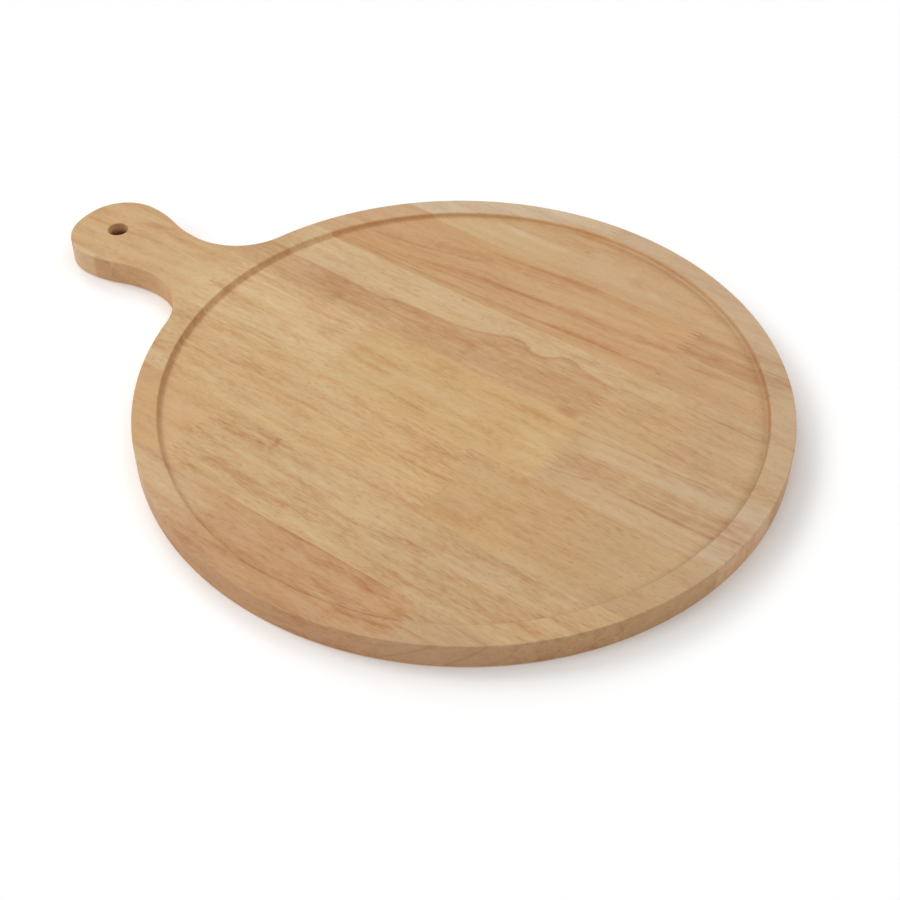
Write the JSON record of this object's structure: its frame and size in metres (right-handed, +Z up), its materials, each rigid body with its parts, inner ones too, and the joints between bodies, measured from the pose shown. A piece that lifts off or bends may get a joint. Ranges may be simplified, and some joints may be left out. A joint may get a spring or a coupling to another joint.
{
  "type": "serving board",
  "caption": "Round wooden serving board of finger-jointed, edge-glued blocks, with a raised rim, a shallow coved recess and a waisted handle with a hanging hole.",
  "frame": {"origin": "middle of the round board, on its underside", "axes": "+Z up out of the serving face, -X along the handle, +Y to the far side"},
  "size_m": [0.453, 0.35, 0.015],
  "materials": {
    "pale_wood": "oiled hardwood, pale yellow-tan, satin",
    "golden_wood": "oiled hardwood, golden tan, satin",
    "pink_wood": "oiled hardwood, pinkish tan, satin",
    "red_brown_wood": "oiled hardwood, reddish tan, satin"
  },
  "bodies": {
    "root": {"far_edge_block_left": "pale_wood", "far_edge_block_right": "pale_wood", "far_block_left": "golden_wood", "far_block_right": "pink_wood", "handle_cheek_far": "pink_wood", "upper_block_left": "pale_wood", "upper_block_right": "golden_wood", "handle_block": "golden_wood", "middle_block_left": "golden_wood", "middle_block_centre": "golden_wood", "middle_block_right": "pink_wood", "handle_cheek_near": "pale_wood", "lower_block_left": "pink_wood", "lower_block_right": "golden_wood", "near_block_left": "red_brown_wood", "near_block_right": "pale_wood", "near_edge_block_left": "red_brown_wood", "near_edge_block_right": "pale_wood"}
  },
  "joints": []
}
